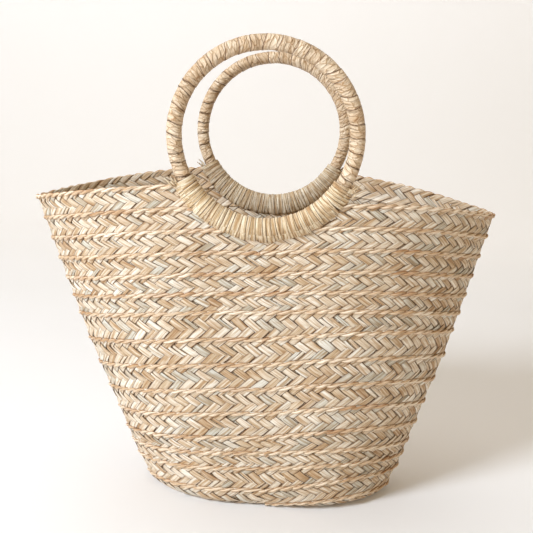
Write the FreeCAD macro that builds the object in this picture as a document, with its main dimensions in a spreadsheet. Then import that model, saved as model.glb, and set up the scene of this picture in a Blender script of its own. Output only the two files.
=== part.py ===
import FreeCAD, Part
import math
import os
import Sketcher

# Woven market basket: one long palm plait, coiled into an oval floor and then
# turned up into the wall, where it climbs as a spiral. A sewn rope ridge joins
# each turn to the next. Two leaf-wrapped rings are lashed into notches in the rim.
#
# Each turn starts and ends at the middle of the front, and climbs by its own
# height along the right half of the front. The last one ends under the front ring.
#
# Millimetres, +Z up, the floor on Z = 0. X runs along the wide side, the front
# ring is at -Y and the back ring at +Y. The rim is centred on X = 0, and the
# floor and the rings sit a little to +X, because the hand-sewn body leans.

DIMENSIONS = {
    # Four levels of the wall: the height of each, and the oval there, made of
    # a straight middle, four long arcs and two end arcs.
    "floor_height": 0.0,
    "floor_half_width": 116.0,
    "floor_half_depth": 57.0,
    "floor_half_flat": 30.0,
    "floor_end_radius": 30.0,
    "foot_height": 12.0,
    "foot_half_width": 130.0,
    "foot_half_depth": 66.0,
    "foot_half_flat": 31.0,
    "foot_end_radius": 34.0,
    "waist_height": 150.0,
    "waist_half_width": 181.0,
    "waist_half_depth": 82.0,
    "waist_half_flat": 46.0,
    "waist_end_radius": 36.0,
    "brim_height": 330.0,
    "brim_half_width": 236.0,
    "brim_half_depth": 98.0,
    "brim_half_flat": 66.0,
    "brim_end_radius": 28.0,
    # The body leans: each level is centred this much per millimetre below the
    # pivot height, towards +X.
    "lean_per_mm": 0.05,
    "lean_pivot_height": 292.0,
    # Plait and the rope ridge between two turns of it.
    "plait_thickness": 4.0,
    "rope_half_height": 2.0,
    "rope_proud": 1.0,
    # The turns arch up in the middle: little at the floor, fully from
    # full_arch_height upwards.
    "low_arch": 9.6,
    "full_arch": 29.0,
    "full_arch_height": 120.0,
    # How much of a turn's height the spiral has climbed half way along its rise.
    "rise_share": 0.66,
    # Height of the first turn where the plait comes up off the floor.
    "first_turn_start": 3.0,
    # Floor: a straight strip and two coils round it, sewn edge to edge.
    "floor_plate": 4.0,
    "strip_half_length": 60.0,
    "strip_half_width": 11.0,
    "coil_width": 22.0,
    "sewing_half_width": 0.8,
    # Ring handles.
    "ring_height": 362.5,
    "ring_radius": 78.0,
    "ring_offset": 95.0,
    "ring_shift": 4.0,
    "ring_lean": 2.5,
    "hinge_height": 294.0,
    "core_radius": 5.2,
    "wrap_radius": 6.6,
    "lashing_radius": 8.7,
    "lashing_outer": 90.2,
    "lashing_skirt_half": 4.4,
    "lashing_span": 122.0,
    "notch_radius": 91.6,
    # Reach of the cutting slabs and the notch cutter past the body.
    "slab_half_length": 290.0,
    "slab_half_depth": 160.0,
}

# Height of each turn of plait at the middle of the front, from the floor up.
# Hand plaiting is uneven, so neighbours differ.
TURN_HEIGHTS = (21.0, 24.0, 17.0, 17.0, 25.0, 25.0, 25.0, 25.0, 26.0, 18.0, 18.0, 20.0, 20.0, 20.0, 20.0)

LEVELS = ("floor", "foot", "waist", "brim")

doc = FreeCAD.newDocument("market_basket")
sheet = doc.addObject("Spreadsheet::Sheet", "Sheet")


def add_dimension(row, alias, value):
    """Write one driving dimension to the sheet."""
    sheet.set("A%d" % row, alias)
    sheet.set("B%d" % row, repr(round(value, 4)))
    sheet.setAlias("B%d" % row, alias)


def level_value(kind, height):
    """Size of the wall's oval at a height, straight between the levels."""
    low = LEVELS[0]
    for high in LEVELS[1:]:
        bottom = DIMENSIONS[low + "_height"]
        top = DIMENSIONS[high + "_height"]
        if height <= top:
            part_way = (height - bottom) / (top - bottom)
            return (1 - part_way) * DIMENSIONS[low + kind] + part_way * DIMENSIONS[high + kind]
        low = high
    return DIMENSIONS[low + kind]


def lean_at(height):
    """X of the body's centre at a height."""
    return DIMENSIONS["lean_per_mm"] * (DIMENSIONS["lean_pivot_height"] - height)


def circle_through(first, second, third):
    """Centre and radius of the circle through three points."""
    (x1, z1), (x2, z2), (x3, z3) = first, second, third
    twice_area = 2 * (x1 * (z2 - z3) + x2 * (z3 - z1) + x3 * (z1 - z2))
    square1, square2, square3 = x1 ** 2 + z1 ** 2, x2 ** 2 + z2 ** 2, x3 ** 2 + z3 ** 2
    x = (square1 * (z2 - z3) + square2 * (z3 - z1) + square3 * (z1 - z2)) / twice_area
    z = (square1 * (x3 - x2) + square2 * (x1 - x3) + square3 * (x2 - x1)) / twice_area
    return x, z, math.hypot(x1 - x, z1 - z)


def seam_dimensions():
    """Each seam is an arc seen from the front: its crown height, centre and radius.

    On the right half of the front it is another arc, the rise, which climbs there
    from the seam below.
    """
    seams = {}
    crown = 0.0
    rise_start = DIMENSIONS["floor_plate"] + DIMENSIONS["first_turn_start"] + DIMENSIONS["rope_half_height"]
    for number, turn_height in enumerate(TURN_HEIGHTS, start=1):
        crown += turn_height
        part_way = min(1.0, crown / DIMENSIONS["full_arch_height"])
        arch = DIMENSIONS["low_arch"] + part_way * (DIMENSIONS["full_arch"] - DIMENSIONS["low_arch"])
        half_width = level_value("_half_width", crown - arch)
        name = "seam_%02d" % number
        seams[name + "_crown"] = crown
        seams[name + "_centre"] = lean_at(crown)
        seams[name + "_radius"] = (half_width ** 2 + arch ** 2) / (2 * arch)

        end = lean_at(crown) + half_width
        middle_height = rise_start + DIMENSIONS["rise_share"] * (crown - rise_start) - arch / 4
        x, z, radius = circle_through((0.0, rise_start), (end / 2, middle_height), (end, crown - arch))
        name = "rise_%02d" % number
        seams[name + "_crown"] = z + radius
        seams[name + "_centre"] = x
        seams[name + "_radius"] = radius
        rise_start = crown
    return seams


DIMENSIONS.update(seam_dimensions())
for index, (alias_name, alias_value) in enumerate(DIMENSIONS.items(), start=1):
    add_dimension(index, alias_name, alias_value)
doc.recompute()


def value(alias):
    """Read a dimension back from the sheet."""
    return float(sheet.get(alias))


def bind(obj, prop, formula):
    """Bind a property to a formula of sheet dimensions, written with their plain names."""
    words = []
    for word in formula.split(" "):
        words.append("Sheet." + word if word in DIMENSIONS else word)
    obj.setExpression(prop, " ".join(words))


def origin_plane(body, role):
    for feature in body.Origin.OriginFeatures:
        if feature.Role == role:
            return feature
    raise ValueError(role)


def new_sketch(body, name, role):
    sketch = body.newObject("Sketcher::SketchObject", name)
    sketch.AttachmentSupport = [(origin_plane(body, role), "")]
    sketch.MapMode = "FlatFace"
    return sketch


def constrain(sketch, name, formula, *constraint):
    """Add one named size to a sketch and bind it to the sheet."""
    index = sketch.addConstraint(Sketcher.Constraint(*constraint))
    sketch.renameConstraint(index, name)
    bind(sketch, ".Constraints." + name, formula)


def vector(x, y, z=0.0):
    return FreeCAD.Vector(x, y, z)


def arc_between(centre, radius, start_angle, end_angle):
    circle = Part.Circle(centre, vector(0, 0, 1), radius)
    return Part.ArcOfCircle(circle, start_angle, end_angle)


# ---------------------------------------------------------------- wall forms

START, END, CENTRE = 1, 2, 3
ORIGIN = (-1, 1)
X_AXIS = -1
Y_AXIS = -2


def oval_sketch(body, level, offset_value, offset_formula):
    """The wall's oval at one level: two straight sides, four long arcs, two end arcs."""
    half_width = value(level + "_half_width") + offset_value
    half_depth = value(level + "_half_depth") + offset_value
    half_flat = value(level + "_half_flat")
    end = value(level + "_end_radius") + offset_value
    middle = lean_at(value(level + "_height"))
    run = half_width - end - half_flat
    long_radius = (run ** 2 + half_depth ** 2 - end ** 2) / (2 * (half_depth - end))
    drop = long_radius - half_depth
    turn = math.atan2(run, drop)
    quarter = math.pi / 2

    sketch = new_sketch(body, body.Name + "_" + level, "XY_Plane")
    bind(sketch, "AttachmentOffset.Base.z", level + "_height")
    line = Part.LineSegment
    right, left = middle + half_flat, middle - half_flat
    pieces = [
        line(vector(right, half_depth), vector(left, half_depth)),
        arc_between(vector(left, -drop), long_radius, quarter, quarter + turn),
        arc_between(vector(middle - half_width + end, 0), end, quarter + turn, 3 * quarter - turn),
        arc_between(vector(left, drop), long_radius, 3 * quarter - turn, 3 * quarter),
        line(vector(left, -half_depth), vector(right, -half_depth)),
        arc_between(vector(right, drop), long_radius, -quarter, -quarter + turn),
        arc_between(vector(middle + half_width - end, 0), end, -quarter + turn, quarter - turn),
        arc_between(vector(right, -drop), long_radius, quarter - turn, quarter),
    ]
    back, left_end, front, right_end = 0, 2, 4, 6
    # Every arc's end angle meets the next piece's start, all counter-clockwise.
    sketch.addGeometry(pieces, False)
    for piece in range(len(pieces)):
        following = (piece + 1) % len(pieces)
        sketch.addConstraint(Sketcher.Constraint("Tangent", piece, END, following, START))
    sketch.addConstraint(Sketcher.Constraint("Horizontal", back))
    sketch.addConstraint(Sketcher.Constraint("Horizontal", front))
    sketch.addConstraint(Sketcher.Constraint("PointOnObject", left_end, CENTRE, X_AXIS))
    sketch.addConstraint(Sketcher.Constraint("PointOnObject", right_end, CENTRE, X_AXIS))

    lean = "lean_per_mm * ( lean_pivot_height - %s_height )" % level
    flat = level + "_half_flat"
    depth = "%s_half_depth %s" % (level, offset_formula)
    radius = "%s_end_radius %s" % (level, offset_formula)
    reach = "%s_half_width - %s_end_radius" % (level, level)
    constrain(sketch, "back_right", lean + " + " + flat, "DistanceX", *ORIGIN, back, START, right)
    constrain(sketch, "back_left", lean + " - " + flat, "DistanceX", *ORIGIN, back, END, left)
    constrain(sketch, "front_left", lean + " - " + flat, "DistanceX", *ORIGIN, front, START, left)
    constrain(sketch, "front_right", lean + " + " + flat, "DistanceX", *ORIGIN, front, END, right)
    constrain(sketch, "back_depth", depth, "DistanceY", *ORIGIN, back, START, half_depth)
    constrain(sketch, "front_depth", depth, "DistanceY", front, START, *ORIGIN, half_depth)
    constrain(sketch, "left_radius", radius, "Radius", left_end, end)
    constrain(sketch, "right_radius", radius, "Radius", right_end, end)
    place = middle - half_width + end
    constrain(sketch, "left_centre", lean + " - ( " + reach + " )", "DistanceX", *ORIGIN, left_end, CENTRE, place)
    place = middle + half_width - end
    constrain(sketch, "right_centre", lean + " + " + reach, "DistanceX", *ORIGIN, right_end, CENTRE, place)
    return sketch


def wall_form(name, offset_value, offset_formula):
    """A solid through the four ovals, each moved in or out by the offset."""
    body = doc.addObject("PartDesign::Body", name)
    sketches = [oval_sketch(body, level, offset_value, offset_formula) for level in LEVELS]
    loft = body.newObject("PartDesign::AdditiveLoft", name + "_loft")
    loft.Profile = sketches[0]
    loft.Sections = sketches[1:]
    loft.Ruled = True
    body.Tip = loft
    return body


def hollow(name, outside, inside):
    shell = doc.addObject("Part::Cut", name)
    shell.Base = outside
    shell.Tool = inside
    return shell


# ------------------------------------------------- turns and rope ridges

# The three blocks of space that hold a turn. The seams are at their usual height
# on the left and at the right back, and climb at the right front.
LEFT, RIGHT_BACK, RIGHT_FRONT = "left", "right_back", "right_front"


def slab(name, low_seam, low_shift, high_seam, high_shift, region):
    """The space between two seam arcs in one region of the body.

    A seam is a number, and its arc is moved up or down by a formula of the
    sheet. Seam 0 is the flat top of the floor.
    """
    reach = value("slab_half_length")
    left = -reach if region == LEFT else 0.0
    right = 0.0 if region == LEFT else reach
    kind = "rise" if region == RIGHT_FRONT else "seam"
    body = doc.addObject("PartDesign::Body", name)
    sketch = new_sketch(body, name + "_sketch", "XZ_Plane")
    bounds = []
    for seam, (shift_value, shift_formula) in ((low_seam, low_shift), (high_seam, high_shift)):
        if seam == 0:
            height = value("floor_plate")
            bounds.append((Part.LineSegment(vector(left, height), vector(right, height)), height, height))
            continue
        alias = "%s_%02d" % (kind, seam)
        middle = vector(value(alias + "_centre"), value(alias + "_crown") + shift_value - value(alias + "_radius"))
        radius = value(alias + "_radius")
        angles = [math.acos((x - middle.x) / radius) for x in (left, right)]
        heights = [middle.y + radius * math.sin(angle) for angle in angles]
        bounds.append((arc_between(middle, radius, angles[1], angles[0]), heights[0], heights[1]))
    (low, low_left, low_right), (high, high_left, high_right) = bounds
    edges = [
        low,
        high,
        Part.LineSegment(vector(left, low_left), vector(left, high_left)),
        Part.LineSegment(vector(right, low_right), vector(right, high_right)),
    ]
    sketch.addGeometry(edges, False)
    # An arc runs from right to left, and the floor's straight line from left to right.
    for index, seam, left_point, right_point in ((0, low_seam, START, START), (1, high_seam, END, END)):
        first, last = (START, END) if seam == 0 else (END, START)
        sketch.addConstraint(Sketcher.Constraint("Coincident", index, first, 2, left_point))
        sketch.addConstraint(Sketcher.Constraint("Coincident", index, last, 3, right_point))
    sketch.addConstraint(Sketcher.Constraint("Vertical", 2))
    sketch.addConstraint(Sketcher.Constraint("Vertical", 3))
    for index, word, x in ((2, "left", left), (3, "right", right)):
        if x == 0:
            sketch.addConstraint(Sketcher.Constraint("PointOnObject", index, START, Y_AXIS))
        else:
            sign = "-1 * " if x < 0 else "1 * "
            constrain(sketch, word + "_reach", sign + "slab_half_length", "DistanceX", *ORIGIN, index, START, x)
    for index, seam, (shift_value, shift_formula) in ((0, low_seam, low_shift), (1, high_seam, high_shift)):
        word = ("low", "high")[index]
        if seam == 0:
            sketch.addConstraint(Sketcher.Constraint("Horizontal", index))
            constrain(sketch, word + "_height", "floor_plate", "DistanceY", *ORIGIN, index, START, value("floor_plate"))
            continue
        alias = "%s_%02d" % (kind, seam)
        radius = value(alias + "_radius")
        depth = radius - value(alias + "_crown") - shift_value
        formula = "%s_radius - %s_crown - ( %s )" % (alias, alias, shift_formula)
        constrain(sketch, word + "_radius", alias + "_radius", "Radius", index, radius)
        constrain(sketch, word + "_middle", "1 * %s_centre" % alias, "DistanceX", *ORIGIN, index, CENTRE,
                  value(alias + "_centre"))
        constrain(sketch, word + "_depth", formula, "DistanceY", index, CENTRE, *ORIGIN, depth)
    pad = body.newObject("PartDesign::Pad", name + "_pad")
    pad.Profile = sketch
    if region == LEFT:
        pad.Midplane = True
        bind(pad, "Length", "2 * slab_half_depth")
    else:
        pad.Reversed = region == RIGHT_BACK
        bind(pad, "Length", "1 * slab_half_depth")
    body.Tip = pad
    return body


def turn_space(name, low, high, regions):
    """The space of one turn or rope in the regions it passes through."""
    slabs = [slab("%s_slab_%s" % (name, region), *low, *high, region) for region in regions]
    if len(slabs) == 1:
        return slabs[0]
    space = doc.addObject("Part::MultiFuse", name + "_space")
    space.Shapes = slabs
    return space


def cut_from(name, base, tool):
    cut = doc.addObject("Part::Cut", name)
    cut.Base = base
    cut.Tool = tool
    return cut


def common_of(name, first, second):
    common = doc.addObject("Part::Common", name)
    common.Base = first
    common.Tool = second
    return common


STRAIGHT = (0.0, "0")


def rope_edge(sign):
    """A seam arc moved to the rope ridge's upper (+1) or lower (-1) edge."""
    return sign * value("rope_half_height"), "%d * rope_half_height" % sign


def notch_cutter():
    """The round cutter along Y that opens both rim notches for the rings."""
    cutter = doc.addObject("Part::Cylinder", "notch_cutter")
    bind(cutter, "Radius", "notch_radius")
    bind(cutter, "Height", "2 * slab_half_depth")
    cutter.Placement = FreeCAD.Placement(vector(0, 0, 0), FreeCAD.Rotation(vector(1, 0, 0), 90))
    bind(cutter, "Placement.Base.x", "1 * ring_shift")
    bind(cutter, "Placement.Base.y", "1 * slab_half_depth")
    bind(cutter, "Placement.Base.z", "1 * ring_height")
    return cutter


def turn_band(name, shell, notch, low, high):
    """One turn or rope: the wall between two seams, in two halves where the notches cut through it."""
    low_seam, low_shift = low
    high_seam, high_shift = high
    notch_bottom = value("ring_height") - value("notch_radius")
    bottom = value("floor_plate")
    if low_seam:
        bottom = value("seam_%02d_crown" % low_seam) + low_shift[0]
    top = value("seam_%02d_crown" % high_seam) + high_shift[0]
    parts = {name: (LEFT, RIGHT_BACK, RIGHT_FRONT)}
    if bottom > notch_bottom:
        parts = {name + "_left": (LEFT,), name + "_right": (RIGHT_BACK, RIGHT_FRONT)}
    bands = []
    for node, regions in parts.items():
        space = turn_space(node, low, high, regions)
        if top > notch_bottom:
            whole = common_of(node + "_whole", shell, space)
            band = cut_from(node, whole, notch)
        else:
            band = common_of(node, shell, space)
        bands.append(band)
    return bands


def make_wall(nodes):
    outside = wall_form("wall_outside", 0.0, "")
    inside = wall_form("wall_inside", -value("plait_thickness"), "- plait_thickness")
    shell = hollow("wall_shell", outside, inside)
    proud = value("rope_proud")
    rope_outside = wall_form("rope_outside", proud, "+ rope_proud")
    rope_inside = wall_form(
        "rope_inside", -value("plait_thickness") - proud, "- plait_thickness - rope_proud")
    rope_shell = hollow("rope_shell", rope_outside, rope_inside)
    notch = notch_cutter()
    for number in range(1, len(TURN_HEIGHTS) + 1):
        low = (number - 1, rope_edge(1) if number > 1 else STRAIGHT)
        nodes += turn_band("wall_turn_%02d" % number, shell, notch, low, (number, rope_edge(-1)))
        if number < len(TURN_HEIGHTS):
            name = "seam_rope_%02d" % number
        else:
            name = "rim_rope"
        nodes += turn_band(name, rope_shell, notch, (number, rope_edge(-1)), (number, rope_edge(1)))
    return outside


# ---------------------------------------------------------------- floor

def slot_plate(name, radius_value, radius_formula):
    """A plate with round ends about the floor's straight strip."""
    reach = value("strip_half_length")
    middle = lean_at(0.0)
    body = doc.addObject("PartDesign::Body", name)
    sketch = new_sketch(body, name + "_sketch", "XY_Plane")
    quarter = math.pi / 2
    right = vector(middle + reach, 0)
    left = vector(middle - reach, 0)
    up = vector(0, radius_value)
    sketch.addGeometry([
        Part.LineSegment(right + up, left + up),
        arc_between(left, radius_value, quarter, 3 * quarter),
        Part.LineSegment(left - up, right - up),
        arc_between(right, radius_value, -quarter, quarter),
    ], False)
    for piece in range(4):
        sketch.addConstraint(Sketcher.Constraint("Tangent", piece, END, (piece + 1) % 4, START))
    sketch.addConstraint(Sketcher.Constraint("PointOnObject", 1, CENTRE, X_AXIS))
    sketch.addConstraint(Sketcher.Constraint("PointOnObject", 3, CENTRE, X_AXIS))
    lean = "lean_per_mm * lean_pivot_height"
    constrain(sketch, "left_end", lean + " - strip_half_length", "DistanceX", *ORIGIN, 1, CENTRE, left.x)
    constrain(sketch, "right_end", lean + " + strip_half_length", "DistanceX", *ORIGIN, 3, CENTRE, right.x)
    constrain(sketch, "radius", radius_formula, "Radius", 1, radius_value)
    pad = body.newObject("PartDesign::Pad", name + "_pad")
    pad.Profile = sketch
    bind(pad, "Length", "1 * floor_plate")
    body.Tip = pad
    return body


def make_floor(nodes, outside):
    """Strip, inner coil and outer coil, with a line of sewing between neighbours."""
    sewing = value("sewing_half_width")
    first = value("strip_half_width")
    second = first + value("coil_width")
    first_formula = "strip_half_width"
    second_formula = "strip_half_width + coil_width"
    plates = []
    for label, radius, formula in (("first", first, first_formula), ("second", second, second_formula)):
        plates.append(slot_plate(label + "_inside", radius - sewing, formula + " - sewing_half_width"))
        plates.append(slot_plate(label + "_outside", radius + sewing, formula + " + sewing_half_width"))
    first_inside, first_outside, second_inside, second_outside = plates
    first_inside.Label = "floor_strip"
    nodes.append(first_inside)
    nodes.append(cut_from("floor_sewing_inner", first_outside, first_inside))
    nodes.append(cut_from("floor_coil_inner", second_inside, first_outside))
    nodes.append(cut_from("floor_sewing_outer", second_outside, second_inside))

    block = doc.addObject("Part::Box", "floor_block")
    bind(block, "Length", "2 * slab_half_length")
    bind(block, "Width", "2 * slab_half_depth")
    bind(block, "Height", "1 * floor_plate")
    bind(block, "Placement.Base.x", "-1 * slab_half_length")
    bind(block, "Placement.Base.y", "-1 * slab_half_depth")
    plate = common_of("floor_plate_whole", outside, block)
    nodes.append(cut_from("floor_coil_outer", plate, second_outside))


# ---------------------------------------------------------------- handles

def ring_placement(side_sign):
    """Puts a ring in its notch, leaned outwards about the hinge line."""
    offset = side_sign * value("ring_offset")
    lean = FreeCAD.Rotation(vector(1, 0, 0), -side_sign * value("ring_lean"))
    hinge = vector(0, offset, value("hinge_height"))
    centre = vector(value("ring_shift"), offset, value("ring_height"))
    upright = FreeCAD.Placement(centre, FreeCAD.Rotation())
    return FreeCAD.Placement(vector(0, 0, 0), lean, hinge).multiply(upright)


def torus(name, tube_formula, placement):
    ring = doc.addObject("Part::Torus", name)
    bind(ring, "Radius1", "1 * ring_radius")
    bind(ring, "Radius2", tube_formula)
    upright = FreeCAD.Placement(vector(0, 0, 0), FreeCAD.Rotation(vector(1, 0, 0), 90))
    ring.Placement = placement.multiply(upright)
    return ring


def lashing_body(name, placement):
    """The bound arc: a tube round the ring with a skirt that runs out over the wall's edge."""
    centre = value("ring_radius")
    tube = value("lashing_radius")
    outer = value("lashing_outer")
    half = value("lashing_skirt_half")
    body = doc.addObject("PartDesign::Body", name)
    sketch = new_sketch(body, name + "_sketch", "YZ_Plane")
    opening = math.asin(half / tube)
    root = centre + tube * math.cos(opening)
    down = -math.pi / 2
    # Sketch x is along Y, and sketch y is along Z; the ring's axis is the sketch's x axis.
    sketch.addGeometry([
        arc_between(vector(0, -centre), tube, down + opening, down - opening + 2 * math.pi),
        Part.LineSegment(vector(-half, -root), vector(-half, -outer)),
        Part.LineSegment(vector(-half, -outer), vector(half, -outer)),
        Part.LineSegment(vector(half, -outer), vector(half, -root)),
    ], False)
    for piece in range(4):
        sketch.addConstraint(Sketcher.Constraint("Coincident", piece, END, (piece + 1) % 4, START))
    sketch.addConstraint(Sketcher.Constraint("Vertical", 1))
    sketch.addConstraint(Sketcher.Constraint("Horizontal", 2))
    sketch.addConstraint(Sketcher.Constraint("Vertical", 3))
    sketch.addConstraint(Sketcher.Constraint("PointOnObject", 0, CENTRE, Y_AXIS))
    constrain(sketch, "ring_radius", "1 * ring_radius", "DistanceY", 0, CENTRE, *ORIGIN, centre)
    constrain(sketch, "tube_radius", "1 * lashing_radius", "Radius", 0, tube)
    constrain(sketch, "outer_radius", "1 * lashing_outer", "DistanceY", 1, END, *ORIGIN, outer)
    constrain(sketch, "half_thickness", "1 * lashing_skirt_half", "DistanceX", *ORIGIN, 2, END, half)
    sketch.addConstraint(Sketcher.Constraint("Equal", 1, 3))
    turned = body.newObject("PartDesign::Revolution", name + "_turned")
    turned.Profile = sketch
    turned.ReferenceAxis = (sketch, ["H_Axis"])
    turned.Midplane = True
    bind(turned, "Angle", "1 * lashing_span")
    body.Tip = turned
    body.Placement = placement
    return body


def make_handle(nodes, side, side_sign):
    placement = ring_placement(side_sign)
    core = torus(side + "_ring_core", "1 * core_radius", placement)
    wrapped = torus(side + "_ring_wrapped", "1 * wrap_radius", placement)
    nodes.append(core)
    nodes.append(cut_from(side + "_ring_wrap", wrapped, core))
    bound = lashing_body(side + "_lashing_whole", placement)
    nodes.append(cut_from(side + "_lashing", bound, wrapped))


# ---------------------------------------------------------------- build

def check(obj):
    for state in ("Invalid", "Error"):
        if state in obj.State:
            raise RuntimeError("%s is %s" % (obj.Name, state))


nodes = []
wall_outside = make_wall(nodes)
make_floor(nodes, wall_outside)
make_handle(nodes, "front", -1)
make_handle(nodes, "back", 1)
doc.recompute()

for item in doc.Objects:
    check(item)
os.makedirs("parts", exist_ok=True)
for node in nodes:
    shape = node.Shape
    if shape.isNull() or not shape.isValid():
        raise RuntimeError(node.Label + " has no valid shape")
    print("%-24s %d solid, %.0f mm3" % (node.Label, len(shape.Solids), shape.Volume))
    shape.exportStep(os.path.join("parts", node.Label + ".step"))
print(len(nodes), "nodes")
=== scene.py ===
import math

import bpy
import numpy as np
from mathutils import Matrix, Vector


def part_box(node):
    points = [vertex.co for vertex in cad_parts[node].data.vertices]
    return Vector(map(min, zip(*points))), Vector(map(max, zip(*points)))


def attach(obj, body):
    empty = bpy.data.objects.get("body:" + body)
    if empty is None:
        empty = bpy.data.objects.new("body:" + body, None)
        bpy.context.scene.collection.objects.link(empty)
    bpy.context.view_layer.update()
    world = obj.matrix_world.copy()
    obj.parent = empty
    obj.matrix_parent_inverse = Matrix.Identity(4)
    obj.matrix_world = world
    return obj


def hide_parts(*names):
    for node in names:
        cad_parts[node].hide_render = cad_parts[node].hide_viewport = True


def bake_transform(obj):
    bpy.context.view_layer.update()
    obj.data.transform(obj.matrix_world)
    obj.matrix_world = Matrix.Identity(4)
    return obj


# Woven market basket. The CAD frame gives the size, the arch and the place of every
# seam between two turns of plait, and of both rings; the strips of leaf, the twisted
# rope ridges, the wound rings and their lashings are modelled here strip by strip.

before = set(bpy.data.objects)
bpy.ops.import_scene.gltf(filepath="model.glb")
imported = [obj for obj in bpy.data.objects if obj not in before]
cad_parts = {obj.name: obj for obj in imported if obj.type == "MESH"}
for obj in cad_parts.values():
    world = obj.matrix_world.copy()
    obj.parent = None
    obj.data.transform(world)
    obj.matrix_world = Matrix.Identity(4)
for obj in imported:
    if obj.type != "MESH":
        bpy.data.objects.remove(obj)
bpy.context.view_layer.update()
MM = 0.001
TAU = 2 * math.pi
random = np.random.default_rng(11)


# ------------------------------------------------------------------ mesh tools

def add_mesh(name, vertices, faces, **attributes):
    """A smooth mesh object from arrays: vertices (n, 3), quads (m, 4), and values per vertex."""
    mesh = bpy.data.meshes.new(name)
    mesh.vertices.add(len(vertices))
    mesh.vertices.foreach_set("co", np.asarray(vertices, np.float32).ravel())
    mesh.loops.add(faces.size)
    mesh.loops.foreach_set("vertex_index", faces.astype(np.int32).ravel())
    mesh.polygons.add(len(faces))
    mesh.polygons.foreach_set("loop_start", np.arange(0, faces.size, 4, dtype=np.int32))
    mesh.update(calc_edges=True)
    mesh.polygons.foreach_set("use_smooth", np.full(len(faces), True))
    for key, values in attributes.items():
        values = np.asarray(values, np.float32)
        kind, field = ("FLOAT_VECTOR", "vector") if values.ndim == 2 else ("FLOAT", "value")
        layer = mesh.attributes.new(key, kind, "POINT")
        layer.data.foreach_set(field, values.ravel())
    mesh.validate()
    item = bpy.data.objects.new(name, mesh)
    bpy.context.scene.collection.objects.link(item)
    return item


def tube_faces(tubes, rings, sides, closed=False):
    """Quads of many tubes at once, whose vertices are stored tube by tube and ring by ring."""
    ring_index = np.arange(rings if closed else rings - 1)
    side_index = np.arange(sides)
    here, side = np.meshgrid(ring_index, side_index, indexing="ij")
    following = (here + 1) % rings
    beside = (side + 1) % sides
    quads = np.stack([
        here * sides + side, here * sides + beside,
        following * sides + beside, following * sides + side], -1).reshape(-1, 4)
    if not closed:
        quads = np.concatenate([quads, cap_faces(sides, 0, False), cap_faces(sides, rings - 1, True)])
    starts = np.arange(tubes) * rings * sides
    return (starts[:, None, None] + quads[None]).reshape(-1, 4)


def cap_faces(sides, ring, last):
    """Quads that close one end of a tube with an even number of sides."""
    pairs = sides // 2 - 1
    quads = []
    for step in range(pairs):
        quad = [step, sides - 1 - step, sides - 2 - step, step + 1]
        quads.append(quad[::-1] if last else quad)
    return np.array(quads) + ring * sides


FLOOR_SOFTNESS = 0.6 * MM


def rest_on_floor(vertices):
    """Press whatever would reach below the floor flat against it, keeping its relief."""
    height = vertices[..., 2]
    pressed = FLOOR_SOFTNESS * np.exp(np.minimum(height - FLOOR_SOFTNESS, 0) / FLOOR_SOFTNESS)
    vertices[..., 2] = np.where(height < FLOOR_SOFTNESS, pressed, height)
    return vertices


def strip_map(along, across, shade):
    """Texture coordinates of leaf: along the strip, across it, and a value of its own."""
    return np.stack(np.broadcast_arrays(along, across, shade), -1).reshape(-1, 3)


def free_runs(free, shortest):
    """Start and stop of each run of true flags that is longer than the shortest."""
    edges = np.flatnonzero(np.diff(np.concatenate([[0], free.astype(int), [0]])))
    return [(start, stop) for start, stop in zip(edges[::2], edges[1::2]) if stop - start > shortest]


def smooth(share):
    """A soft step from 0 to 1."""
    share = np.clip(share, 0, 1)
    return share * share * (3 - 2 * share)


# ------------------------------------------------------------------ the wall's surface

ROPE_PROUD = 1.0 * MM
ROPE_HALF_HEIGHT = 2.0 * MM
FLOOR_HALF_FLAT = 30 * MM
FLOOR_END_RADIUS = 32 * MM
BRIM_HALF_FLAT = 66 * MM
BRIM_END_RADIUS = 30 * MM
TURNS = 15
# The wall's foot curls in from the edge of the CAD floor by this much on each side.
FOOT_TUCK_WIDTH = 8.0 * MM
FOOT_TUCK_DEPTH = 8.5 * MM
END_REACH = 4 * MM
SMALLEST_ARCH = 0.2 * MM
# What a row of the seam table holds.
CROWN, ARCH, CENTRE, HALF_WIDTH, HALF_DEPTH = range(5)


def joined_box(names):
    """The box round several CAD nodes."""
    boxes = [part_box(name) for name in names]
    low = [min(box[0][axis] for box in boxes) for axis in range(3)]
    high = [max(box[1][axis] for box in boxes) for axis in range(3)]
    return low, high


def whole_or_halves(name):
    """One CAD node, or its left and right halves where the notches cut it."""
    return [name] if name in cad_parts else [name + "_left", name + "_right"]


def rope_nodes(seam):
    """The CAD nodes of one rope ridge."""
    name = "rim_rope" if seam == TURNS else "seam_rope_%02d" % seam
    return whole_or_halves(name)


def turn_nodes(turn):
    """The CAD nodes of one turn of the wall."""
    return whole_or_halves("wall_turn_%02d" % turn)


def end_height(nodes, low):
    """Height of a seam at the basket's left end, from the CAD mesh there."""
    heights = []
    for name in nodes:
        heights += [v.co.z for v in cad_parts[name].data.vertices if v.co.x < low[0] + END_REACH]
    return (min(heights) + max(heights)) / 2


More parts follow.
